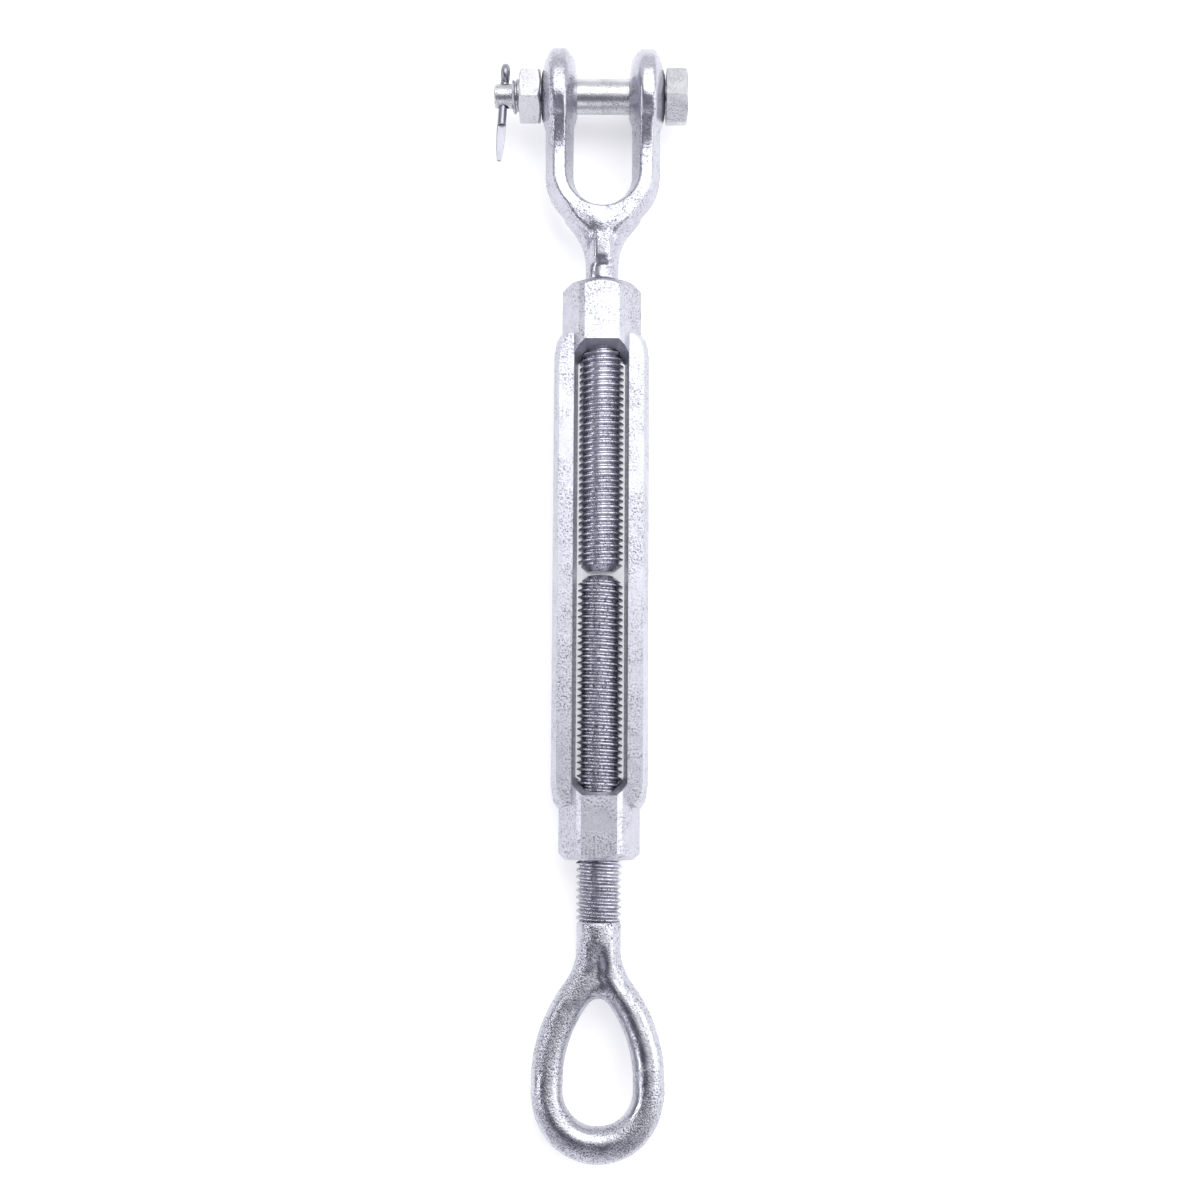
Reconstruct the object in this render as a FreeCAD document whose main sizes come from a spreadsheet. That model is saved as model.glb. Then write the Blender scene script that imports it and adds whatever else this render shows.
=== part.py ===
import FreeCAD, Part
import math
import os
import re

import Sketcher

Vector = FreeCAD.Vector

# Rigging turnbuckle with a jaw at one end and an eye at the other. Lengths are in millimetres.
# The row frame has its origin at the middle of the clevis bolt, +Y out of the open jaw, the
# bolt along X and +Z square to the eye. Each piece is drawn in a frame of its own and placed.
sizes = {
    # coarse 5/8 inch rod thread, right hand at the jaw and left hand at the eye
    "thread_pitch": 2.309,
    "thread_crest_radius": 7.9,
    "thread_depth": 1.35,
    "thread_root_flat": 0.3,
    "flank_slope": 0.577,
    "thread_clearance": 0.3,
    "flank_clearance": 0.08,
    "cutter_overlap": 0.06,
    "cutter_overrun": 1.5,
    # the screwed body: two hexagon hubs joined by two bars round an open window
    "window_length": 152.4,
    "hub_length": 25.4,
    "hub_flats": 25.4,
    "hub_corner_radius": 14.1,
    "hub_end_radius": 11.9,
    "end_ring_thickness": 0.75,
    "mouth_clearance": 0.7,
    "mouth_depth": 2.2,
    "rod_to_bar_gap": 0.42,
    "bar_thickness": 8.6,
    "bar_draft": 2.0,
    "bar_face_height": 8.5,
    "bar_shoulder": 9.0,
    "bar_arch": 7.0,
    "window_draft": 0.145,
    "window_end_slope": 0.276,
    "window_corner": 4.3,
    "window_corner_drop": 3.0,
    "window_reach": 13.5,
    # how the rods sit when they are screwed right in
    "pin_to_mouth": 71.4,
    "eye_to_mouth": 76.2,
    "meeting_offset": -2.3,
    "tip_gap": 1.4,
    "tip_chamfer": 2.7,
    "tip_bevel": 3.0,
    # jaw forging
    "neck_radius": 6.0,
    "neck_step": 1.9,
    "jaw_gap": 20.7,
    "arm_thickness": 10.6,
    "arm_draft": 3.0,
    "arm_half_depth": 9.0,
    "crotch_to_pin": 40.6,
    "ear_radius": 17.8,
    "ear_inside_boss": 1.1,
    "ear_outside_boss": 1.5,
    "ear_boss_radius": 7.6,
    "ear_rim_inside": 2.85,
    "ear_rim_outside": 2.25,
    "ear_rim_round": 0.9,
    "ear_cone_inside": 0.55,
    "ear_cone_radius": 12.6,
    "ear_root_start": 15.5,
    "stem_start": 11.0,
    "stem_depth": 8.9,
    # eye forging
    "eye_half_width": 11.75,
    "eye_bar_radius": 5.65,
    "eye_side_radius": 43.2,
    "eye_side_start": 1.5,
    "eye_side_straight": 2.95,
    "eye_crown_radius": 3.9,
    "eye_web_radius": 4.7,
    "eye_foot_thickness": 13.05,
    "eye_foot_bar_radius": 5.0,
    "eye_shoulder_radius": 27.0,
    "eye_shoulder_inset": 0.3,
    "eye_shank_radius": 7.8,
    "eye_thread_end": 54.3,
    # clevis bolt, its nut and its cotter
    "bolt_radius": 6.35,
    "bolt_clearance": 0.1,
    "bolt_flats": 19.05,
    "bolt_head_height": 7.9,
    "seat_gap": 0.3,
    "nut_height": 7.5,
    "bolt_thread_pitch": 1.954,
    "bolt_thread_depth": 0.95,
    "bolt_thread_length": 8.6,
    "bolt_thread_past_nut": 2.6,
    "bolt_tip_radius": 4.4,
    "bolt_tip_length": 6.6,
    "cotter_hole_radius": 1.985,
    "cotter_hole_to_end": 3.3,
    "cotter_radius": 1.6,
    "cotter_split": 0.1,
    "cotter_long_leg": 27.8,
    "cotter_short_leg": 15.7,
    "cotter_loop_radius": 2.3,
    "cotter_bend_radius": 1.8,
    "cotter_seat_gap": 0.25,
    "cotter_lean": 0.06,
}

doc = FreeCAD.newDocument("Turnbuckle")
sheet = doc.addObject("Spreadsheet::Sheet", "Sizes")
for row, (alias, value) in enumerate(sizes.items(), start=1):
    sheet.set(f"A{row}", alias)
    sheet.set(f"B{row}", str(value))
    sheet.setAlias(f"B{row}", alias)
doc.recompute()

# Lengths that several pieces share, written once from the sizes.
half_body = "(window_length / 2 + hub_length)"
pin_to_body = f"(pin_to_mouth + {half_body})"
body_to_eye = f"(eye_to_mouth + {half_body})"
jaw_tip = f"(meeting_offset + tip_gap / 2 - {pin_to_body})"
eye_tip = f"({body_to_eye} + meeting_offset - tip_gap / 2)"
jaw_thread_end = "(-pin_to_mouth - 0.4)"
jaw_cut_start = f"({jaw_tip} - 1.2)"
root_radius = "(thread_crest_radius - thread_depth)"
mouth = "(thread_crest_radius + mouth_clearance)"
window_half = "(thread_crest_radius + rod_to_bar_gap)"
bar_side = f"({window_half} + bar_thickness)"
arm_inner = "(jaw_gap / 2)"
arm_outer = "(jaw_gap / 2 + arm_thickness)"
ear_inner = f"({arm_inner} - ear_inside_boss)"
ear_outer = f"({arm_outer} + ear_outside_boss)"
nut_outer = f"(-{ear_outer} - seat_gap - nut_height)"
bolt_shoulder = f"({nut_outer} - bolt_thread_past_nut)"
bolt_end = f"({bolt_shoulder} - bolt_tip_length)"


# Expression text with every size name pointing at the sheet.
def cells(text):
    return re.sub(r"[a-z]+(?:_[a-z]+)+", lambda found: "Sizes." + found.group(0), text)


def size(alias):
    return float(sheet.get(alias))


def new_body(name):
    body = doc.addObject("PartDesign::Body", name)
    body.Label = name
    return body


def new_sketch(body, name, plane="XY_Plane", lift=None, turn=0):
    sketch = body.newObject("Sketcher::SketchObject", name)
    support = [item for item in body.Origin.OriginFeatures if item.Role == plane][0]
    sketch.AttachmentSupport = [(support, "")]
    sketch.MapMode = "FlatFace"
    if turn:
        spin = FreeCAD.Rotation(Vector(0, 0, 1), turn)
        sketch.AttachmentOffset = FreeCAD.Placement(Vector(0, 0, 0), spin)
    if lift:
        sketch.setExpression("AttachmentOffset.Base.z", cells(lift))
    return sketch


def tie(sketch, kind, item, point, expression):
    number = sketch.addConstraint(Sketcher.Constraint(kind, -1, 1, item, point, 1.0))
    name = f"{kind}_{item}_{point}"
    sketch.renameConstraint(number, name)
    sketch.setExpression(f"Constraints.{name}", cells(expression))


# A closed outline whose corners all sit where the sizes put them.
def polygon(sketch, corners):
    first, count = sketch.GeometryCount, len(corners)
    ring = [Vector(9 * math.cos(6.2832 * i / count), 9 * math.sin(6.2832 * i / count), 0)
            for i in range(count)]
    for index in range(count):
        sketch.addGeometry(Part.LineSegment(ring[index], ring[(index + 1) % count]), False)
    for index, (across, along) in enumerate(corners):
        line, following = first + index, first + (index + 1) % count
        sketch.addConstraint(Sketcher.Constraint("Coincident", line, 2, following, 1))
        tie(sketch, "DistanceX", line, 1, across)
        tie(sketch, "DistanceY", line, 1, along)


def circle(sketch, across, along, radius):
    item = sketch.addGeometry(Part.Circle(Vector(1, 1, 0), Vector(0, 0, 1), 1), False)
    tie(sketch, "DistanceX", item, 3, across)
    tie(sketch, "DistanceY", item, 3, along)
    number = sketch.addConstraint(Sketcher.Constraint("Radius", item, 1.0))
    sketch.renameConstraint(number, f"Radius_{item}")
    sketch.setExpression(f"Constraints.Radius_{item}", cells(radius))


# A path of arcs and lines. An arc is (centre, radius, from, to, radius text), in degrees,
# counterclockwise when "to" is the larger angle; a line is its two end points.
def path(sketch, pieces, closed=False):
    first, ends = sketch.GeometryCount, []
    for piece in pieces:
        if len(piece) == 2:
            item = sketch.addGeometry(Part.LineSegment(*piece), False)
            ends.append((item, 1, 2))
            continue
        centre, radius, start, stop, text = piece
        low, high = sorted((math.radians(start), math.radians(stop)))
        rim = Part.Circle(centre, Vector(0, 0, 1), radius)
        item = sketch.addGeometry(Part.ArcOfCircle(rim, low, high), False)
        ends.append((item, 1, 2) if stop > start else (item, 2, 1))
        number = sketch.addConstraint(Sketcher.Constraint("Radius", item, radius))
        sketch.renameConstraint(number, f"Radius_{item}")
        sketch.setExpression(f"Constraints.Radius_{item}", cells(text))
    pairs = list(zip(ends, ends[1:])) + ([(ends[-1], ends[0])] if closed else [])
    for (item, _, leave), (other, arrive, _) in pairs:
        sketch.addConstraint(Sketcher.Constraint("Coincident", item, leave, other, arrive))


def feature(body, kind, name, sketch, **settings):
    made = body.newObject("PartDesign::" + kind, name)
    made.Profile = sketch
    for key, value in settings.items():
        setattr(made, key, value)
    if hasattr(made, "Refine"):
        made.Refine = False
    return made


def turned(body, kind, name, corners, axis="V_Axis", plane="XY_Plane", angle=360, **settings):
    sketch = new_sketch(body, name + "Outline", plane)
    for outline in corners if isinstance(corners[0], list) else [corners]:
        polygon(sketch, outline)
    made = feature(body, kind, name, sketch, **settings)
    made.ReferenceAxis = (sketch, [axis])
    made.Angle = angle
    return made


def hexagon(flats):
    half, point = f"{flats} / 2", f"{flats} / sqrt(3)"
    return [(point, "0"), (f"{point} / 2", half), (f"-{point} / 2", half),
            (f"-{point}", "0"), (f"-{point} / 2", f"-{half}"), (f"{point} / 2", f"-{half}")]


# One helical groove: narrow end at `bottom`, wide end at `top`, both radii from the axis.
def helical_cut(body, name, start, length, bottom, top, width, pitch, left=False, axis="V_Axis"):
    spread = f"({width} / 2 + (abs({top} - ({bottom}))) * flank_slope)"
    narrow = f"({width} / 2)"
    corners = [(bottom, f"{start} - {narrow}"), (top, f"{start} - {spread}"),
               (top, f"{start} + {spread}"), (bottom, f"{start} + {narrow}")]
    if axis == "H_Axis":
        corners = [(along, across) for across, along in corners]
    sketch = new_sketch(body, name + "Section")
    polygon(sketch, corners)
    cut = feature(body, "SubtractiveHelix", name, sketch)
    cut.ReferenceAxis = (sketch, [axis])
    cut.Mode = 0
    cut.LeftHanded = left
    cut.setExpression("Pitch", cells(pitch))
    cut.setExpression("Height", cells(length))
    return cut


def place(item, along):
    item.setExpression("Placement.Base.y", cells(along))


# ---- turnbuckle body ----
body = new_body("turnbuckle_body")
hub_sketch = new_sketch(body, "HubSection", "XZ_Plane")
polygon(hub_sketch, hexagon("hub_flats"))
hubs = feature(body, "Pad", "HexBar", hub_sketch, Midplane=True)
hubs.setExpression("Length", cells(f"2 * {half_body}"))
turned(body, "Groove", "HubCorners", [
    ("hub_corner_radius", f"-{half_body} - 1"), ("hub_flats", f"-{half_body} - 1"),
    ("hub_flats", f"{half_body} + 1"), ("hub_corner_radius", f"{half_body} + 1")])


# The two bars and their arched ends, one outline at the parting line and one at each face.
def bar_outline(side, reach, arch, trim):
    straight = f"(window_length / 2 - {trim})"
    quarter = [(side, straight), (f"{side} - 0.45", f"{straight} + {reach} * 0.45"),
               (f"{side} - {arch} * 0.18", f"{straight} + {reach} * 0.72"),
               (f"{side} - {arch} * 0.5", f"{straight} + {reach}")]
    right = [(a, f"-({b})") for a, b in reversed(quarter)] + quarter
    return right + [(f"-({a})", b) for a, b in reversed(right)]


bar_levels = []
for level, (lift, side) in enumerate((("-bar_face_height", f"({bar_side} - bar_draft)"),
                                      (None, bar_side),
                                      ("bar_face_height", f"({bar_side} - bar_draft)"))):
    bar_sketch = new_sketch(body, f"BarOutline{level}", lift=lift)
    trim, arch = ("1.0", "bar_shoulder * 0.6") if lift is None else ("2.5", "bar_arch")
    polygon(bar_sketch, bar_outline(side, "bar_shoulder", arch, trim))
    bar_levels.append(bar_sketch)
bars = feature(body, "AdditiveLoft", "Bars", bar_levels[0], Sections=bar_levels[1:], Ruled=True)


# The open window: eight-sided, narrowest at the parting line, opening towards both faces.
def window_outline(rise):
    wide = f"({window_half} + {rise} * window_draft)"
    end = f"(window_length / 2 + {rise} * window_end_slope)"
    flat = f"({wide} - window_corner)"
    quarter = [(wide, f"{end} - window_corner_drop"), (flat, end)]
    upper = quarter + [(f"-{a}", b) for a, b in reversed(quarter)]
    return upper + [(a, f"-({b})") for a, b in reversed(upper)]


window_levels = []
for level, (lift, rise) in enumerate((("-window_reach", "window_reach"), (None, "0"),
                                      ("window_reach", "window_reach"))):
    window_sketch = new_sketch(body, f"WindowOutline{level}", lift=lift)
    polygon(window_sketch, window_outline(rise))
    window_levels.append(window_sketch)
feature(body, "SubtractiveLoft", "Window", window_levels[0], Sections=window_levels[1:], Ruled=True)

# Bore with a plain mouth at each end, and the turned chamfer on each hexagon end.
bore = f"({root_radius} + thread_clearance)"
jaw_face = f"({half_body} - end_ring_thickness)"
turned(body, "Groove", "Bore", [
    ("0", f"-{half_body} - 1"), (mouth, f"-{half_body} - 1"),
    (mouth, f"-{half_body} + mouth_depth"), (bore, f"-{half_body} + mouth_depth + 1.6"),
    (bore, f"{half_body} - mouth_depth - 1.6"), (mouth, f"{half_body} - mouth_depth"),
    (mouth, f"{half_body} + 1"), ("0", f"{half_body} + 1")])
turned(body, "Groove", "EndCones", [
    [("hub_end_radius", half_body), ("hub_end_radius", f"{half_body} + 4"),
     ("hub_end_radius + 8", f"{half_body} + 4"), ("hub_end_radius + 8", f"{half_body} - 8")],
    [("hub_end_radius", f"-{half_body}"), ("hub_end_radius", f"-{half_body} - 4"),
     ("hub_end_radius + 8", f"-{half_body} - 4"), ("hub_end_radius + 8", f"-{half_body} + 8")]])
turned(body, "Groove", "RingSeat", [
    ("0", jaw_face), ("hub_end_radius + 6", jaw_face),
    ("hub_end_radius + 6", f"{half_body} + 2"), ("0", f"{half_body} + 2")])

# Inside threads, in step with the rods when those are screwed right in. Each starts a turn
# clear of the hub, in the open window, and runs out past the mouth.
nut_bottom = "(thread_crest_radius + thread_clearance)"
nut_width = ("(thread_pitch - thread_root_flat"
             " - 2 * thread_depth * flank_slope"
             " + 2 * flank_clearance)")
cut_in = "(window_length / 2 - window_corner_drop - thread_pitch)"
jaw_phase = f"({jaw_cut_start} + {pin_to_body})"
jaw_start = f"({jaw_phase} + (floor(({cut_in} - {jaw_phase}) / thread_pitch) + 0.5) * thread_pitch)"
eye_phase = f"(eye_thread_end - {body_to_eye})"
eye_low = f"(-{half_body} - cutter_overrun)"
eye_start = f"({eye_phase} + (floor(({eye_low} - {eye_phase}) / thread_pitch) + 0.5) * thread_pitch)"
helical_cut(body, "JawThread", jaw_start, f"{half_body} + cutter_overrun - {jaw_start}",
            nut_bottom, f"({bore} - cutter_overlap)", nut_width, "thread_pitch")
helical_cut(body, "EyeThread", eye_start, f"-{cut_in} - {eye_start}",
            nut_bottom, f"({bore} - cutter_overlap)", nut_width, "thread_pitch", left=True)
place(body, f"-{pin_to_body}")

# ---- the plain ring at the jaw end of the body ----
ring = new_body("body_end_ring")
turned(ring, "Revolution", "EndRing", [
    (mouth, jaw_face), ("hub_end_radius + end_ring_thickness", jaw_face),
    ("hub_end_radius", half_body), (mouth, half_body)])
place(ring, f"-{pin_to_body}")

# ---- jaw: rod, neck, fork and ears ----
jaw = new_body("jaw_core")
turned(jaw, "Revolution", "Rod", [
    ("0", jaw_tip), ("thread_crest_radius - tip_bevel", jaw_tip),
    ("thread_crest_radius", f"{jaw_tip} + tip_chamfer"),
    ("thread_crest_radius", jaw_thread_end), ("neck_radius", f"{jaw_thread_end} + neck_step"),
    ("neck_radius", "-crotch_to_pin - 4"), ("0", "-crotch_to_pin - 4")])
arm_section = [(arm_inner, "0"), (f"{arm_inner} + arm_draft", "arm_half_depth"),
               (f"{arm_outer} - arm_draft", "arm_half_depth"), (arm_outer, "0"),
               (f"{arm_outer} - arm_draft", "-arm_half_depth"),
               (f"{arm_inner} + arm_draft", "-arm_half_depth")]
crook = "(crotch_to_pin - jaw_gap / 2)"
crook_sketch = new_sketch(jaw, "CrookSection", "XZ_Plane", lift=crook)
polygon(crook_sketch, arm_section)
bend = feature(jaw, "Revolution", "Crook", crook_sketch)
bend.ReferenceAxis = (crook_sketch, ["V_Axis"])
bend.Angle = 180
bend.Reversed = True
arm_sketch = new_sketch(jaw, "ArmSections", "XZ_Plane", lift=crook)
polygon(arm_sketch, arm_section)
polygon(arm_sketch, [(f"-({a})", b) for a, b in arm_section])
arms = feature(jaw, "Pad", "Arms", arm_sketch, Reversed=True)
arms.setExpression("Length", cells(f"{crook} - 5"))
rim_inner = f"({arm_inner} + ear_rim_inside)"
rim_outer = f"({arm_outer} - ear_rim_outside)"
ear_section = [
    (ear_inner, "0"), (ear_inner, "ear_boss_radius"),
    (f"{arm_inner} + ear_cone_inside", "ear_cone_radius"),
    (f"{rim_inner} - ear_rim_round * 0.4", "ear_radius - ear_rim_round"),
    (f"{rim_inner} + ear_rim_round * 0.6", "ear_radius"),
    (f"{rim_outer} - ear_rim_round * 0.6", "ear_radius"),
    (f"{rim_outer} + ear_rim_round * 0.4", "ear_radius - ear_rim_round"),
    (f"{arm_outer} - 0.05", "ear_cone_radius"), (ear_outer, "ear_boss_radius"),
    (ear_outer, "0")]
turned(jaw, "Revolution", "Ears", [ear_section, [(f"-({a})", b) for a, b in ear_section]], "H_Axis")


# The arms deepen into the ears: sections at growing height, each as wide as the arm.
def ear_root(side, name):
    levels = []
    for level, (below, depth) in enumerate((
            ("(ear_root_start + 11)", "arm_half_depth - 0.02"),
            ("(ear_root_start + 4)", "(arm_half_depth + 0.9)"),
            ("(ear_root_start - 1.5)", "(arm_half_depth + 3.2)"),
            ("(ear_root_start - 8)", "(ear_radius - 2.1)"))):
        near, far = f"{arm_inner} + arm_draft", f"{arm_outer} - arm_draft"
        outline = [(f"{arm_inner} + 0.1", "0"), (near, depth), (far, depth),
                   (f"{arm_outer} - 0.1", "0"), (far, f"-{depth}"), (near, f"-{depth}")]
        section = new_sketch(jaw, f"{name}{level}", "XZ_Plane", lift=below)
        polygon(section, [(f"{side}({a})", b) for a, b in outline])
        levels.append(section)
    feature(jaw, "AdditiveLoft", name, levels[0], Sections=levels[1:], Ruled=False)


ear_root("", "HeadSideRoot")
ear_root("-", "NutSideRoot")
hole = "(bolt_radius + bolt_clearance)"
turned(jaw, "Groove", "BoltHole", [
    (f"-{ear_outer} - 3", "0"), (f"-{ear_outer} - 3", hole), (f"{ear_outer} + 3", hole),
    (f"{ear_outer} + 3", "0")], "H_Axis")
helical_cut(jaw, "Thread", jaw_cut_start, f"{jaw_thread_end} + 3.2 - {jaw_cut_start}",
            root_radius, "(thread_crest_radius + cutter_overlap)", "thread_root_flat",
            "thread_pitch")


# Smooth forged stem through oval sections (distance from the origin, half width, half depth).
def stem(name, sections):
    rings = []
    for index, (along, across, deep) in enumerate(sections):
        oval = doc.addObject("Part::Ellipse", f"{name}Oval{index}")
        oval.Placement.Rotation = FreeCAD.Rotation(Vector(1, 0, 0), 90)
        oval.setExpression("MajorRadius", cells(across))
        oval.setExpression("MinorRadius", cells(deep))
        place(oval, along)
        rings.append(oval)
    loft = doc.addObject("Part::Loft", name)
    loft.Sections = rings
    loft.Solid = True
    loft.Ruled = False
    return loft


fork_root = "(-crotch_to_pin - arm_thickness)"
jaw_stem = stem("JawStem", [
    (f"{fork_root} - stem_start", "neck_radius + 0.02", "neck_radius + 0.02"),
    (f"{fork_root} - stem_start * 0.62", "neck_radius + 0.9", "neck_radius + 0.9"),
    (f"{fork_root} - stem_start * 0.35", "neck_radius + 2.0", "neck_radius + 1.8"),
    (f"{fork_root} - 0.2", "neck_radius + 4.2", "stem_depth"),
    (f"{fork_root} + stem_start * 0.4", "neck_radius + 8.0", "stem_depth")])
jaw_end = doc.addObject("Part::Fuse", "jaw_end")
jaw_end.Base, jaw_end.Tool = jaw, jaw_stem
jaw_end.Label = "jaw_end"

# ---- eye: rod, two limbs that part from the shank, the web between them and the heavy foot ----
eye = new_body("eye_end")
bar = size("eye_bar_radius")
centre_line = size("eye_half_width") + bar
side_line = size("eye_side_radius") + bar
side_shift = side_line - centre_line
high = size("eye_side_start")
low = high - size("eye_side_straight")
bend_line = size("eye_shoulder_radius")
shank_line = size("eye_shank_radius") - size("eye_shoulder_inset") - bar
turn = math.acos((shank_line + bend_line + side_shift) / (side_line + bend_line))
turn_degrees = math.degrees(turn)
bend_across = shank_line + bend_line
bend_along = high + (side_line + bend_line) * math.sin(turn)
# One limb, from inside the shank round to the middle of the foot.
def limb(side, name):
    across = side * bend_across
    inner, flat = (180, 0) if side > 0 else (0, 180)
    limb_path = new_sketch(eye, name + "Path")
    path(limb_path, [
        (Vector(across, bend_along, 0), bend_line, inner, inner + side * turn_degrees,
         "eye_shoulder_radius"),
        (Vector(-side * side_shift, high, 0), side_line, flat + side * turn_degrees, flat,
         "eye_side_radius + eye_bar_radius"),
        (Vector(side * centre_line, high, 0), Vector(side * centre_line, low, 0)),
        (Vector(0, low, 0), centre_line, 0 if side > 0 else -180, -90,
         "eye_half_width + eye_bar_radius")])
    limb_section = new_sketch(eye, name + "Section", "XZ_Plane", lift=f"-{bend_along:.4f}")
    shank_offset = "(eye_shank_radius - eye_shoulder_inset - eye_bar_radius)"
    circle(limb_section, shank_offset if side > 0 else "-" + shank_offset, "0",
           "eye_bar_radius")
    feature(eye, "AdditivePipe", name, limb_section, Spine=(limb_path, []))


limb(1, "RightLimb")
limb(-1, "LeftLimb")


# Part of a ring about an axis square to the eye, drawn on the plane through both.
def part_ring(name, centre, across, radius, angle):
    section = new_sketch(eye, name + "Section", "YZ_Plane")
    section.setExpression("AttachmentOffset.Base.x", cells(centre))
    circle(section, across, "0", radius)
    made = feature(eye, "Revolution", name, section, Midplane=True)
    made.ReferenceAxis = (section, ["V_Axis"])
    made.Angle = angle


crown_reach = size("eye_side_radius") - size("eye_crown_radius")
crown_angle = math.degrees(math.acos(side_shift / crown_reach))
crown = ("(eye_side_start + sqrt((eye_side_radius - eye_crown_radius) ^ 2"
         " - (eye_side_radius - eye_half_width) ^ 2))")
part_ring("Web", crown, "eye_crown_radius + eye_web_radius", "eye_web_radius",
          180 - 2 * crown_angle)
foot_line = "(eye_half_width + 2 * eye_bar_radius - eye_foot_bar_radius - 0.5)"
foot_end = "(eye_side_straight - eye_side_start + eye_half_width + eye_foot_thickness)"
part_ring("Foot", f"{foot_line} + eye_foot_bar_radius - {foot_end}", f"-{foot_line}",
          "eye_foot_bar_radius", 180)
turned(eye, "Revolution", "Rod", [
    ("0", f"{bend_along:.4f} - 8"), ("eye_bar_radius - 1", f"{bend_along:.4f} - 8"),
    ("eye_shank_radius", f"{bend_along:.4f} + 0.6"), ("eye_shank_radius", "eye_thread_end + 0.4"),
    ("thread_crest_radius", "eye_thread_end + 2.0"),
    ("thread_crest_radius", f"{eye_tip} - tip_chamfer"),
    ("thread_crest_radius - tip_bevel", eye_tip), ("0", eye_tip)])
helical_cut(eye, "Thread", "eye_thread_end", f"{eye_tip} + 1.2 - eye_thread_end",
            root_radius, "(thread_crest_radius + cutter_overlap)", "thread_root_flat",
            "thread_pitch", left=True)
eye_end = eye
place(eye_end, f"-{pin_to_body} - {body_to_eye}")

# ---- clevis bolt ----
bolt = new_body("clevis_bolt")
head_sketch = new_sketch(bolt, "HeadSection", "YZ_Plane", lift=f"{ear_outer} + seat_gap", turn=-15)
polygon(head_sketch, hexagon("bolt_flats"))
head = feature(bolt, "Pad", "Head", head_sketch)
head.setExpression("Length", cells("bolt_head_height"))
head_end = f"({ear_outer} + seat_gap + bolt_head_height)"
turned(bolt, "Groove", "HeadChamfer", [
    (head_end, "bolt_flats / 2 - 0.3"), (f"{head_end} + 2", "bolt_flats / 2 - 0.3"),
    (f"{head_end} + 2", "bolt_flats / 2 + 5.7"), (f"{head_end} - 3.2", "bolt_flats / 2 + 5.7")],
    "H_Axis")
turned(bolt, "Revolution", "Shank", [
    (f"{ear_outer} + seat_gap + 1", "0"), (f"{ear_outer} + seat_gap + 1", "bolt_radius"),
    (f"{bolt_shoulder} + 0.6", "bolt_radius"), (bolt_shoulder, "bolt_radius - 0.7"),
    (bolt_shoulder, "bolt_tip_radius"), (f"{bolt_end} + 0.5", "bolt_tip_radius"),
    (bolt_end, "bolt_tip_radius - 0.5"), (bolt_end, "0")], "H_Axis")
helical_cut(bolt, "Thread", f"{bolt_shoulder} - 1.2", "bolt_thread_length + 1.2",
            "(bolt_radius - bolt_thread_depth)", "(bolt_radius + cutter_overlap)", "0.3",
            "bolt_thread_pitch", axis="H_Axis")
hole_sketch = new_sketch(bolt, "CotterHoleSection", "XZ_Plane")
circle(hole_sketch, f"{bolt_end} + cotter_hole_to_end", "0", "cotter_hole_radius")
cotter_hole = feature(bolt, "Pocket", "CotterHole", hole_sketch, Midplane=True)
cotter_hole.setExpression("Length", cells("4 * bolt_tip_radius"))

# ---- clevis nut ----
nut = new_body("clevis_nut")
nut_sketch = new_sketch(nut, "NutSection", "YZ_Plane", lift=nut_outer, turn=90)
polygon(nut_sketch, hexagon("bolt_flats"))
hex_nut = feature(nut, "Pad", "HexNut", nut_sketch)
hex_nut.setExpression("Length", cells("nut_height"))
corner = "(bolt_flats / 2 - 0.2)"
inner_end = f"({nut_outer} + nut_height)"
turned(nut, "Groove", "Chamfers", [
    [(nut_outer, corner), (f"{nut_outer} - 2", corner), (f"{nut_outer} - 2", f"{corner} + 6"),
     (f"{nut_outer} + 3.2", f"{corner} + 6")],
    [(inner_end, corner), (f"{inner_end} + 2", corner), (f"{inner_end} + 2", f"{corner} + 6"),
     (f"{inner_end} - 3.2", f"{corner} + 6")]], "H_Axis")
turned(nut, "Groove", "NutBore", [
    (f"{nut_outer} - 1", "0"), (f"{nut_outer} - 1", f"{hole} + 1.4"), (f"{nut_outer} + 0.4", hole),
    (f"{inner_end} - 0.4", hole), (f"{inner_end} + 1", f"{hole} + 1.4"), (f"{inner_end} + 1", "0")],
    "H_Axis")

# ---- cotter: half-round wire folded into a loop and two legs ----
cotter = new_body("cotter_pin")
half_gap = size("cotter_split") / 2
loop, turn_out = size("cotter_loop_radius"), size("cotter_bend_radius")
loop_rise = math.sqrt((loop + turn_out) ** 2 - (turn_out + half_gap) ** 2)
spread = math.degrees(math.atan2(loop_rise, turn_out + half_gap))
wire = new_sketch(cotter, "WirePath", "YZ_Plane", turn=-90)
# in this sketch +Y runs up the pin and +X points away from +Z
path(wire, [
    (Vector(half_gap, -size("cotter_long_leg"), 0), Vector(half_gap, 0, 0)),
    (Vector(half_gap + turn_out, 0, 0), turn_out, 180, 180 - spread, "cotter_bend_radius"),
    (Vector(0, loop_rise, 0), loop, -spread, 180 + spread, "cotter_loop_radius"),
    (Vector(-half_gap - turn_out, 0, 0), turn_out, spread, 0, "cotter_bend_radius"),
    (Vector(-half_gap, 0, 0), Vector(-half_gap, -size("cotter_short_leg"), 0))])
wire_section = new_sketch(cotter, "WireSection", "XZ_Plane", lift="cotter_long_leg")
flat_back = Vector(0, -half_gap, 0)
wire_radius = size("cotter_radius")
path(wire_section, [
    (flat_back, wire_radius, 180, 360, "cotter_radius"),
    (flat_back + Vector(wire_radius, 0, 0), flat_back - Vector(wire_radius, 0, 0))], closed=True)
pin = feature(cotter, "AdditivePipe", "Wire", wire_section, Spine=(wire, []), Mode="Binormal")
pin.Binormal = Vector(1, 0, 0)
cotter_hole_at = f"({bolt_end} + cotter_hole_to_end)"
tilt = math.degrees(math.atan(size("cotter_lean")))
cotter.Placement.Rotation = FreeCAD.Rotation(Vector(0, 0, 1), -tilt)
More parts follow.
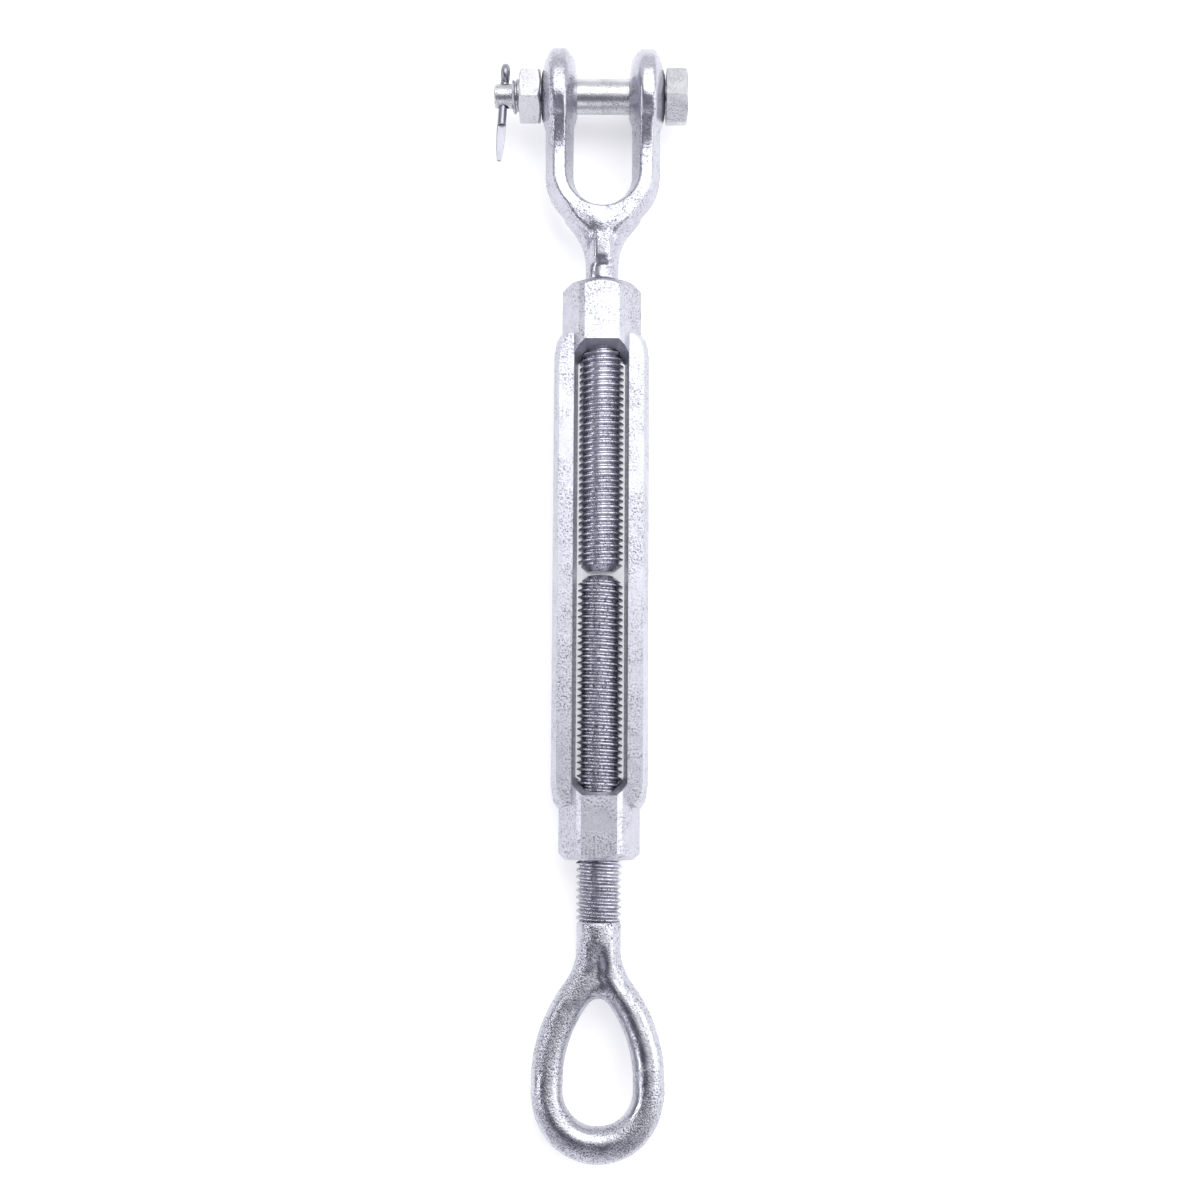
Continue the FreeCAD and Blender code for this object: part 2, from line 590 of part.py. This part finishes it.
cotter.setExpression("Placement.Base.x", cells(
    f"{cotter_hole_at} + (bolt_tip_radius + cotter_seat_gap) * cotter_lean"))
place(cotter, "bolt_tip_radius + cotter_seat_gap")

doc.recompute()
nodes = [body, ring, jaw_end, eye_end, bolt, nut, cotter]
for item in doc.Objects:
    if any(word in item.State for word in ("Invalid", "Error")):
        raise RuntimeError(f"{item.Label} did not build: {item.State}")
for node in nodes:
    if node.Shape.isNull() or not node.Shape.isValid() or len(node.Shape.Solids) != 1:
        raise RuntimeError(f"{node.Label} is not one valid solid")

os.makedirs("parts", exist_ok=True)
for node in nodes:
    node.Shape.exportStep(f"parts/{node.Label}.step")
    print(f"{node.Label}: {node.Shape.Volume:.0f} cubic mm, {len(node.Shape.Faces)} faces")
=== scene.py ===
import math

import bmesh
import bpy
from mathutils import Matrix, Vector, noise


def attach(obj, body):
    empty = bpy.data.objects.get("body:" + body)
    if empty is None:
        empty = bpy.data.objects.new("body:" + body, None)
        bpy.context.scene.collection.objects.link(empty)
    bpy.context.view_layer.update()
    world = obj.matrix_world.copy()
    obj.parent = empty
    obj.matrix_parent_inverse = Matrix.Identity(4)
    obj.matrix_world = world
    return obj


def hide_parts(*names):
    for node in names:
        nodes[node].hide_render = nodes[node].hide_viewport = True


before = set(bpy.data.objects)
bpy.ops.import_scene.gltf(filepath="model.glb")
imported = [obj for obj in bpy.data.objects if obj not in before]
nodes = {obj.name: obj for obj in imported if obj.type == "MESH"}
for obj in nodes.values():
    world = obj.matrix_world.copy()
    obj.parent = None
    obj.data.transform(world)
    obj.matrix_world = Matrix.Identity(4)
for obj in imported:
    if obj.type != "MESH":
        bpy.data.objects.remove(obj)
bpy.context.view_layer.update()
mm = 0.001


def linear(hexColour):
    parts = [int(hexColour[i:i + 2], 16) / 255 for i in (1, 3, 5)]
    parts = [p / 12.92 if p <= 0.04045 else ((p + 0.055) / 1.055) ** 2.4 for p in parts]
    return (*parts, 1.0)


def addNode(tree, kind, settings=None, links=None, **inputs):
    node = tree.nodes.new(kind)
    for key, value in (settings or {}).items():
        setattr(node, key, value)
    for key, value in inputs.items():
        node.inputs[key.replace("_", " ")].default_value = value
    for key, source in (links or {}).items():
        tree.links.new(source, node.inputs[key])
    return node


# Hot-dip galvanised drop forging: bright zinc over pitted scale, which gives the eye a hard
# silvery glitter with lavender shade and dull flecks in the pits; each finish's corner colour is
# painted shade for recesses.
# The bolt, nut and cotter are smoother steel under the same zinc. Pit and spangle widths are
# in millimetres.
zinc = {
    "bodyZinc": dict(light="#C9C9D3", dark="#7C7D8B", cornerShade="#B2B3BF", rough=0.32, pit=0.70,
                     grain=0.50, cover=0.62, spangle=3.0, metal=0.80),
    "jawZinc": dict(light="#C9C9D3", dark="#74758A", cornerShade="#B4B5C1", rough=0.23, pit=0.70,
                    grain=0.62, cover=0.66, spangle=3.5, metal=0.84),
    "eyeZinc": dict(light="#CACAD3", dark="#5A5B6E", cornerShade="#9C9DAA", rough=0.14, pit=0.60,
                    grain=0.95, cover=0.85, spangle=3.2, metal=0.96),
    "boltZinc": dict(light="#D6D6DA", dark="#80818F", cornerShade="#9A9BA8", rough=0.26, pit=0.42,
                     grain=0.50, cover=0.72, spangle=5.0, metal=0.92),
    "nutZinc": dict(light="#DEDEE2", dark="#A8A8B2", cornerShade="#A6A6B0", rough=0.34, pit=0.60,
                    grain=0.30, cover=0.30, spangle=4.0, metal=0.80),
    "cotterZinc": dict(light="#A2A2AC", dark="#8A8B98", cornerShade="#7A7A86", rough=0.28, pit=0.45,
                       grain=0.18, cover=0.20, spangle=5.0, metal=0.95),
}


# socket numbers of a colour mix, which has one name for several sockets
mixFactor, mixFirst, mixSecond, mixed = 0, 6, 7, 2


def makeZinc(name, look):
    material = bpy.data.materials.new(name)
    material.use_nodes = True
    tree = material.node_tree
    tree.nodes.clear()
    place = addNode(tree, "ShaderNodeTexCoord").outputs["Object"]
    pits = addNode(tree, "ShaderNodeTexNoise", links={"Vector": place},
                   Scale=1 / (look["pit"] * mm), Detail=3.0, Roughness=0.62)
    spread = addNode(tree, "ShaderNodeTexNoise", links={"Vector": place},
                     Scale=1 / (11 * mm), Detail=2.0, Roughness=0.5)
    spangle = addNode(tree, "ShaderNodeTexVoronoi", links={"Vector": place},
                      Scale=1 / (look["spangle"] * mm))
    # pits gather in patches of old scale
    patch = addNode(tree, "ShaderNodeMapRange", links={"Value": spread.outputs["Fac"]},
                    From_Min=0.62 - look["cover"] * 0.35, From_Max=0.72 - look["cover"] * 0.25,
                    To_Min=0.30)
    deep = addNode(tree, "ShaderNodeMapRange", links={"Value": pits.outputs["Fac"]},
                   From_Min=0.50, From_Max=0.36)
    fleck = addNode(tree, "ShaderNodeMath", settings={"operation": "MULTIPLY"},
                    links={0: deep.outputs["Result"], 1: patch.outputs["Result"]})
    colour = addNode(tree, "ShaderNodeMix", settings={"data_type": "RGBA"},
                     links={mixFactor: fleck.outputs["Value"]})
    colour.inputs[mixFirst].default_value = linear(look["light"])
    colour.inputs[mixSecond].default_value = linear(look["dark"])
    # each zinc crystal is a shade lighter or darker than the next
    crystal = addNode(tree, "ShaderNodeMapRange", links={"Value": spangle.outputs["Color"]},
                      To_Min=0.90)
    shade = addNode(tree, "ShaderNodeMix", settings={"data_type": "RGBA",
                                                     "blend_type": "MULTIPLY"},
                    links={mixFirst: colour.outputs[mixed], mixSecond: crystal.outputs["Result"]})
    shade.inputs[mixFactor].default_value = 1.0
    # painted shade: where ambient occlusion finds thread roots and inside corners, the colour
    # turns to the darker corner tint
    hollow = addNode(tree, "ShaderNodeAmbientOcclusion", settings={"samples": 6},
                     Distance=1.5 * mm)
    corner = addNode(tree, "ShaderNodeMapRange", links={"Value": hollow.outputs["AO"]},
                     From_Max=0.40)
    shadedCorners = addNode(tree, "ShaderNodeMix", settings={"data_type": "RGBA"},
                    links={mixFactor: corner.outputs["Result"], mixSecond: shade.outputs[mixed]})
    shadedCorners.inputs[mixFirst].default_value = linear(look["cornerShade"])
    rough = addNode(tree, "ShaderNodeMapRange", links={"Value": fleck.outputs["Value"]},
                    To_Min=look["rough"], To_Max=look["rough"] + 0.12)
    relief = addNode(tree, "ShaderNodeMath", settings={"operation": "MULTIPLY"},
                     links={0: pits.outputs["Fac"], 1: patch.outputs["Result"]})
    bump = addNode(tree, "ShaderNodeBump", links={"Height": relief.outputs["Value"]},
                   Strength=look["grain"], Distance=0.22 * mm)
    shader = addNode(tree, "ShaderNodeBsdfPrincipled", links={
        "Base Color": shadedCorners.outputs[mixed], "Roughness": rough.outputs["Result"],
        "Normal": bump.outputs["Normal"]}, Metallic=look["metal"])
    addNode(tree, "ShaderNodeOutputMaterial", links={"Surface": shader.outputs["BSDF"]})
    return material


materials = {name: makeZinc(name, look) for name, look in zinc.items()}
print("zinc finishes ready")


def mergedCopy(nodeName):
    shape = bmesh.new()
    shape.from_mesh(nodes[nodeName].data)
    bmesh.ops.remove_doubles(shape, verts=shape.verts, dist=0.001 * mm)
    return shape


# Keep the side of a shape beyond (or short of) a station along the long axis, and close it.
def keepSide(shape, along, beyond):
    everything = shape.verts[:] + shape.edges[:] + shape.faces[:]
    bmesh.ops.bisect_plane(shape, geom=everything, plane_co=(0, along, 0), plane_no=(0, 1, 0),
                           clear_inner=beyond, clear_outer=not beyond)
    rim = [edge for edge in shape.edges if edge.is_boundary]
    bmesh.ops.holes_fill(shape, edges=rim, sides=0)
    return shape


# two sizes of unevenness in a forged face, set inwards so that nothing grows past the dies
dieWear = dict(broad=0.6, fine=0.4, finer=2.7, inwards=0.6)


# A forging as it leaves the dies: even skin, soft corners and a slightly uneven face.
def forge(shape, sizes, swellings=()):
    data = bpy.data.meshes.new("forgingDraft")
    for swelling in swellings:
        swelling.to_mesh(data)
        shape.from_mesh(data)
        swelling.free()
    shape.to_mesh(data)
    draft = bpy.data.objects.new("forgingDraft", data)
    bpy.context.scene.collection.objects.link(draft)
    even = draft.modifiers.new("even", "REMESH")
    even.mode = "VOXEL"
    even.voxel_size = sizes["voxel"]
    skin = bmesh.new()
    skin.from_object(draft, bpy.context.evaluated_depsgraph_get())
    bpy.data.objects.remove(draft)
    for _ in range(sizes["softening"]):
        bmesh.ops.smooth_vert(skin, verts=skin.verts, factor=0.5, use_axis_x=True,
                              use_axis_y=True, use_axis_z=True)
    skin.normal_update()
    for vert in skin.verts:
        spot = vert.co / sizes["wave"]
        swell = (noise.noise(spot) * dieWear["broad"]
                 + noise.noise(spot * dieWear["finer"]) * dieWear["fine"])
        vert.co += vert.normal * (sizes["uneven"] * (swell - dieWear["inwards"]))
    return skin


def finishPiece(name, shapes, nodeName, body, finish, crease=32, planar=False):
    whole = bmesh.new()
    for shape in shapes:
        part = bpy.data.meshes.new(name + "Part")
        shape.to_mesh(part)
        whole.from_mesh(part)
        bpy.data.meshes.remove(part)
        shape.free()
    bmesh.ops.recalc_face_normals(whole, faces=whole.faces)
    for face in whole.faces:
        face.smooth = True
    for edge in whole.edges:
        if len(edge.link_faces) == 2:
            edge.smooth = edge.calc_face_angle() < math.radians(crease)
    data = bpy.data.meshes.new(name)
    whole.to_mesh(data)
    whole.free()
    data.materials.append(materials[finish])
    piece = bpy.data.objects.new(name, data)
    bpy.context.scene.collection.objects.link(piece)
    if planar:
        even = piece.modifiers.new("evenNormals", "WEIGHTED_NORMAL")
        even.keep_sharp = True
    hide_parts(nodeName)
    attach(piece, body)
    print(name, len(data.polygons), "faces")
    return piece


# A closed round lump, or a hull through blunt-cornered sections along the long axis.
def lump(middle, size):
    shape = bmesh.new()
    bmesh.ops.create_icosphere(shape, subdivisions=3, radius=1.0)
    bmesh.ops.scale(shape, vec=[extent * mm for extent in size], verts=shape.verts)
    bmesh.ops.translate(shape, vec=[along * mm for along in middle], verts=shape.verts)
    return shape


def hullThrough(stations, shoulder, crown=0.55):
    shape = bmesh.new()
    for along, across, high in stations:
        for wide, tall in ((1.0, shoulder), (crown, 1.0)):
            for side in (-1, 1):
                for face in (-1, 1):
                    shape.verts.new((side * across * wide * mm, along * mm,
                                     face * high * tall * mm))
    bmesh.ops.convex_hull(shape, input=shape.verts)
    return shape


# jaw: forged fork above the neck, rolled thread below it
jawForging = dict(split=-69.6 * mm, voxel=0.42 * mm, softening=8, wave=6 * mm,
                  uneven=0.10 * mm)
# metal flows round the crotch in a flat band and down into one column at the neck
saddle = dict(band=((-44.0, 13.0, 8.9), (-48.0, 10.0, 8.8), (-52.5, 5.0, 8.1)),
              column=((-50.0, 4.9, 8.7), (-56.0, 4.6, 8.3), (-61.5, 4.4, 7.6),
                      (-63.6, 4.2, 6.5), (-65.5, 4.0, 5.2)),
              bandShoulder=0.99, columnShoulder=0.66)
# beads of metal where the neck leaves the dies
neckLumps = (((-2.3, -62.3, 6.0), (1.4, 0.8, 1.2)), ((1.2, -62.9, 6.3), (1.2, 0.7, 1.1)),
             ((3.2, -62.2, 5.4), (1.0, 0.8, 1.2)))
fork = forge(keepSide(mergedCopy("jaw_end"), jawForging["split"], True), jawForging,
             [hullThrough(saddle["band"], saddle["bandShoulder"]),
              hullThrough(saddle["column"], saddle["columnShoulder"])]
             + [lump(*place) for place in neckLumps])
# the ears are a little fuller inside than plain cones, and round off at the top
ears = dict(middle=15.95 * mm, inner=9.0 * mm, outer=17.5 * mm, full=0.9 * mm, outside=0.3,
            bossInside=9.35 * mm, bossOutside=22.35 * mm, rounding=12.0 * mm, sink=0.11,
            lowest=-6 * mm, blend=8 * mm, rim=3 * mm)
for vert in fork.verts:
    reach = math.hypot(vert.co.y, vert.co.z)
    upper = min(max((vert.co.y - ears["lowest"]) / ears["blend"], 0), 1)
    if reach > ears["inner"] and upper > 0:
        across = abs(vert.co.x)
        offset = across - ears["middle"]
        rise = math.sin(math.pi * min((reach - ears["inner"])
                                      / (ears["outer"] - ears["inner"]), 1))
        share = min(abs(offset) / ears["rim"], 1) * upper * rise
        swell = ears["full"] * share * (1 if offset < 0 else ears["outside"])
        if ears["bossInside"] < across < ears["bossOutside"]:
            moved = across + math.copysign(swell, offset)
            moved = min(max(moved, ears["bossInside"]), ears["bossOutside"])
            vert.co.x = math.copysign(moved, vert.co.x)
        shrink = 1 - ears["sink"] * upper * max(reach - ears["rounding"], 0) / reach
        vert.co.y, vert.co.z = vert.co.y * shrink, vert.co.z * shrink
jawRod = keepSide(mergedCopy("jaw_end"), jawForging["split"], False)
finishPiece("jawForged", [fork, jawRod], "jaw_end", "jaw", "jawZinc")

# eye: forged bow and shank, rolled left-hand thread
eyeForging = dict(split=-295.2 * mm, voxel=0.40 * mm, softening=30, wave=7 * mm,
                  uneven=0.12 * mm)
# the web between the limbs is a shallow valley, and the thread runs out on the shank
valley = (((0, -310.0, 0), (5.2, 9.5, 5.2)), ((0, -302.0, 0), (6.4, 8.0, 7.3)),
          ((-2.9, -304.0, 0), (5.0, 13.0, 7.2)), ((2.9, -304.0, 0), (5.0, 13.0, 7.2)))
shankEnd = dict(start=-295.25 * mm, end=-299.5 * mm, threadSide=7.95 * mm, eyeSide=7.90 * mm)
shankMiddle = (0, (shankEnd["start"] + shankEnd["end"]) / 2, 0)
runOut = bmesh.new()
bmesh.ops.create_cone(runOut, cap_ends=True, segments=96, radius1=shankEnd["eyeSide"],
                      radius2=shankEnd["threadSide"], depth=shankEnd["start"] - shankEnd["end"],
                      matrix=Matrix.Translation(shankMiddle)
                      @ Matrix.Rotation(math.radians(-90), 4, "X"))
bow = forge(keepSide(mergedCopy("eye_end"), eyeForging["split"], False), eyeForging,
            [lump(*place) for place in valley] + [runOut])
eyeRod = keepSide(mergedCopy("eye_end"), eyeForging["split"], True)
finishPiece("eyeForged", [bow, eyeRod], "eye_end", "eye", "eyeZinc")


# Blunt the corners of a planar shape, leaving its threads and bores alone.
def bluntCorners(shape, sizes, wanted):
    bmesh.ops.dissolve_limit(shape, angle_limit=math.radians(0.8), verts=shape.verts,
                             edges=shape.edges)
    corners = [edge for edge in shape.edges
               if len(edge.link_faces) == 2 and edge.calc_face_angle() > sizes["angle"]
               and all(wanted(vert.co) for vert in edge.verts)]
    bmesh.ops.bevel(shape, geom=corners, offset=sizes["corner"], offset_type="OFFSET",
                    affect="EDGES", segments=3, profile=0.5, material=-1, clamp_overlap=True)
    bmesh.ops.triangulate(shape, faces=[f for f in shape.faces if len(f.verts) > 4])
    return shape


bodyCorners = dict(corner=0.55 * mm, angle=math.radians(16), bore=8.95 * mm, ring=-72.4 * mm)
screwBody = bluntCorners(mergedCopy("turnbuckle_body"), bodyCorners, lambda spot: (
    math.hypot(spot.x, spot.z) > bodyCorners["bore"] and spot.y < bodyCorners["ring"]))
finishPiece("bodyForged", [screwBody], "turnbuckle_body", "screw_body", "bodyZinc",
            planar=True)
finishPiece("bodyEndRing", [mergedCopy("body_end_ring")], "body_end_ring", "end_ring",
            "bodyZinc")

# bolt and nut keep their made shapes, with blunted hexagons
hexCorners = dict(corner=0.35 * mm, angle=math.radians(20), clear=6.9 * mm, turn=20)


def outsideShank(spot):
    return math.hypot(spot.y, spot.z) > hexCorners["clear"]


boltShape = bluntCorners(mergedCopy("clevis_bolt"), hexCorners, outsideShank)
finishPiece("clevisBolt", [boltShape], "clevis_bolt", "bolt", "boltZinc",
            planar=True)
nutShape = bluntCorners(mergedCopy("clevis_nut"), hexCorners, outsideShank)
# done up by hand, so its flats don't line up with the fork
nutTurn = Matrix.Rotation(math.radians(hexCorners["turn"]), 3, "X")
bmesh.ops.rotate(nutShape, matrix=nutTurn, verts=nutShape.verts)
finishPiece("clevisNut", [nutShape], "clevis_nut", "nut", "nutZinc", planar=True)

# half-round wire: soft edges, and the long leg drawn down to a rounded tip
cotterSizes = dict(voxel=0.13 * mm, softening=2, wave=5 * mm, uneven=0.02 * mm,
                   taper=-14.0 * mm, tip=-23.2 * mm, narrow=0.5, longer=1.2 * mm,
                   line=-36.17 * mm, lean=0.06, middle=-0.85 * mm)
cotterShape = forge(mergedCopy("cotter_pin"), cotterSizes)
for vert in cotterShape.verts:
    drawn = (cotterSizes["taper"] - vert.co.y) / (cotterSizes["taper"] - cotterSizes["tip"])
    if drawn > 0:
        keep = 1 - cotterSizes["narrow"] * drawn ** 2
        legLine = cotterSizes["line"] + cotterSizes["lean"] * vert.co.y
        vert.co.x = legLine + (vert.co.x - legLine) * keep
        vert.co.z = cotterSizes["middle"] + (vert.co.z - cotterSizes["middle"]) * keep
        vert.co.y -= cotterSizes["longer"] * drawn ** 2
finishPiece("cotterPin", [cotterShape], "cotter_pin", "cotter", "cotterZinc",
            crease=60)

# floor under the ears and the eye end of the body
floorSizes = dict(halfSide=3.0, drop=17.8 * mm, tilt=1.067, roughness=0.8, glow=0.36)
floorMesh = bmesh.new()
bmesh.ops.create_grid(floorMesh, x_segments=1, y_segments=1, size=floorSizes["halfSide"])
lay = Matrix.Rotation(math.radians(-floorSizes["tilt"]), 4, "X") @ Matrix.Translation(
    (0, 0, -floorSizes["drop"]))
bmesh.ops.transform(floorMesh, matrix=lay, verts=floorMesh.verts)
floorData = bpy.data.meshes.new("floor")
floorMesh.to_mesh(floorData)
floor = bpy.data.objects.new("floor", floorData)
bpy.context.scene.collection.objects.link(floor)
paper = bpy.data.materials.new("paleBoard")
paper.use_nodes = True
board = paper.node_tree.nodes["Principled BSDF"].inputs
board["Base Color"].default_value = linear("#FAFAFB")
board["Roughness"].default_value = floorSizes["roughness"]
board["Emission Color"].default_value = linear("#FFFFFF")  # lit from below like a light table
board["Emission Strength"].default_value = floorSizes["glow"]
floorData.materials.append(paper)
print("floor laid")

# camera over the bench, drawn back a little towards the eye
view = dict(distance=0.65, tilt=7.0, roll=0.32, aim=Vector((0.30 * mm, -184.2 * mm, 0)),
            across=424.583 * mm, sensor=36.0)
tilt = math.radians(view["tilt"])
cameraData = bpy.data.cameras.new("camera")
cameraData.sensor_width = view["sensor"]
cameraData.lens = view["sensor"] * view["distance"] / (view["across"] * math.cos(tilt))
camera = bpy.data.objects.new("camera", cameraData)
camera.location = view["aim"] + view["distance"] * Vector((0, -math.sin(tilt), math.cos(tilt)))
camera.rotation_euler = (tilt, 0, math.radians(view["roll"]))
bpy.context.scene.collection.objects.link(camera)
bpy.context.scene.camera = camera


def softbox(name, place, aim, width, height, watts):
    data = bpy.data.lights.new(name, "AREA")
    data.shape = "RECTANGLE"
    data.size, data.size_y, data.energy = width, height, watts
    lamp = bpy.data.objects.new(name, data)
    lamp.location = place
    lamp.rotation_euler = (Vector(aim) - Vector(place)).to_track_quat("-Z", "Y").to_euler()
    bpy.context.scene.collection.objects.link(lamp)


# metres and watts
softboxes = {
    "overheadBox": dict(place=(0.25, 0.35, 1.1), aim=(0, -0.18, 0), width=1.0, height=0.9,
                        watts=6.0),
    "leftStrip": dict(place=(-1.0, -0.24, 0.62), aim=(0, -0.24, 0), width=1.1, height=0.17,
                      watts=3.0),
    "rightBox": dict(place=(1.0, -0.25, 0.55), aim=(0, -0.25, 0), width=0.9, height=0.7,
                     watts=3.0),
    "nearBox": dict(place=(0.0, -1.45, 0.60), aim=(0, -0.18, 0), width=1.3, height=0.55,
                    watts=2.4),
}
for name, box in softboxes.items():
    softbox(name, **box)

# studio: a white sheet sweeps from overhead to the far right, the near left is unlit
studio = dict(sheetSide=(0.6, 0.8, 0.0), strength=0.94, nearLeft="#E2E2EA", farRight="#F4F4F8",
              between=((0.12, "#C6C7D2"), (0.20, "#747582"), (0.30, "#545562"),
                       (0.425, "#60616E"), (0.475, "#DCDCE2"), (0.60, "#FFFFFF")))
world = bpy.data.worlds.new("studio")
world.use_nodes = True
sky = world.node_tree
sheet = addNode(sky, "ShaderNodeVectorMath", settings={"operation": "DOT_PRODUCT"},
                links={0: addNode(sky, "ShaderNodeTexCoord").outputs["Generated"]})
sheet.inputs[1].default_value = studio["sheetSide"]
sweep = addNode(sky, "ShaderNodeMapRange", links={"Value": sheet.outputs["Value"]},
                From_Min=-1.0)
bands = addNode(sky, "ShaderNodeValToRGB", links={"Fac": sweep.outputs["Result"]})
bands.color_ramp.elements[0].color = linear(studio["nearLeft"])
bands.color_ramp.elements[1].color = linear(studio["farRight"])
for position, shade in studio["between"]:
    step = bands.color_ramp.elements.new(position)
    step.color = linear(shade)
sky.links.new(bands.outputs["Color"], sky.nodes["Background"].inputs["Color"])
sky.nodes["Background"].inputs["Strength"].default_value = studio["strength"]
bpy.context.scene.world = world
bpy.context.scene.view_settings.view_transform = "Standard"
print("studio ready")
